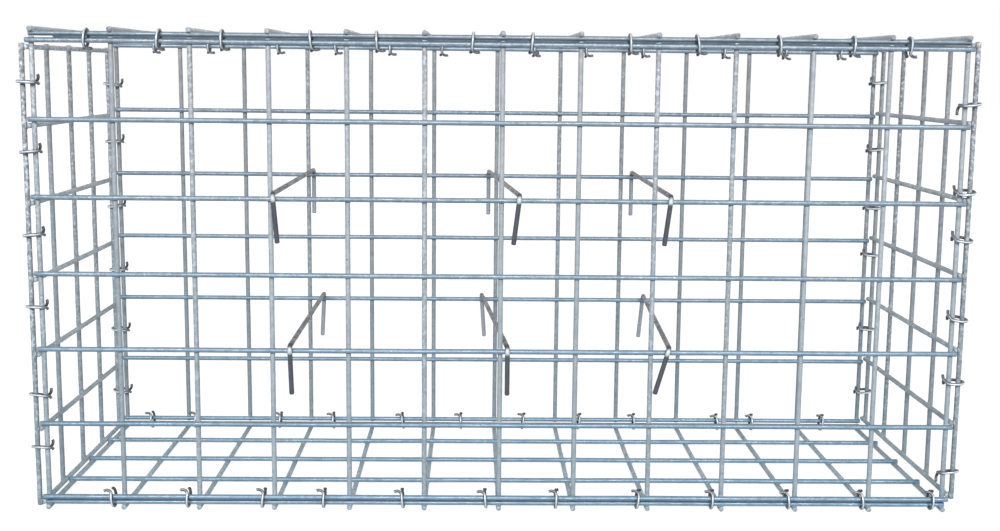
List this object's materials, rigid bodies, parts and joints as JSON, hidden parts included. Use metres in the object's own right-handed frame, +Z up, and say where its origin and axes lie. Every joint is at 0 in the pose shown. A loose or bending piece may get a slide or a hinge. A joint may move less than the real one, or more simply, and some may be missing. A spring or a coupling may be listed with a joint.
{
  "type": "gabion basket",
  "caption": "Empty welded wire mesh gabion basket: flat galvanised panels clipped with C-rings into a closed box that holds stone, with hooked bracing wires from front to back.",
  "frame": {"origin": "on the ground, under the middle of the basket", "axes": "+X along the basket's length, +Y from its front to its back, +Z up"},
  "size_m": [0.9318, 0.3256, 0.4764],
  "materials": {
    "mesh_wire": "hot-dip galvanised steel wire",
    "ring_wire": "galvanised spring steel wire",
    "brace_wire": "galvanised steel wire"
  },
  "bodies": {
    "root": {"base_panel": "mesh_wire", "front_long_wires": "mesh_wire", "front_uprights": "mesh_wire", "back_panel": "mesh_wire", "left_end_panel": "mesh_wire", "right_end_panel": "mesh_wire", "lid_panel": "mesh_wire", "rings_top_front": "ring_wire", "rings_top_back": "ring_wire", "rings_bottom_front": "ring_wire", "rings_bottom_back": "ring_wire", "rings_left_front": "ring_wire", "rings_left_back": "ring_wire", "rings_right_front": "ring_wire", "rings_right_back": "ring_wire", "brace_upper_left": "brace_wire", "brace_upper_middle": "brace_wire", "brace_upper_right": "brace_wire", "brace_lower_left": "brace_wire", "brace_lower_middle": "brace_wire", "brace_lower_right": "brace_wire"}
  },
  "joints": []
}
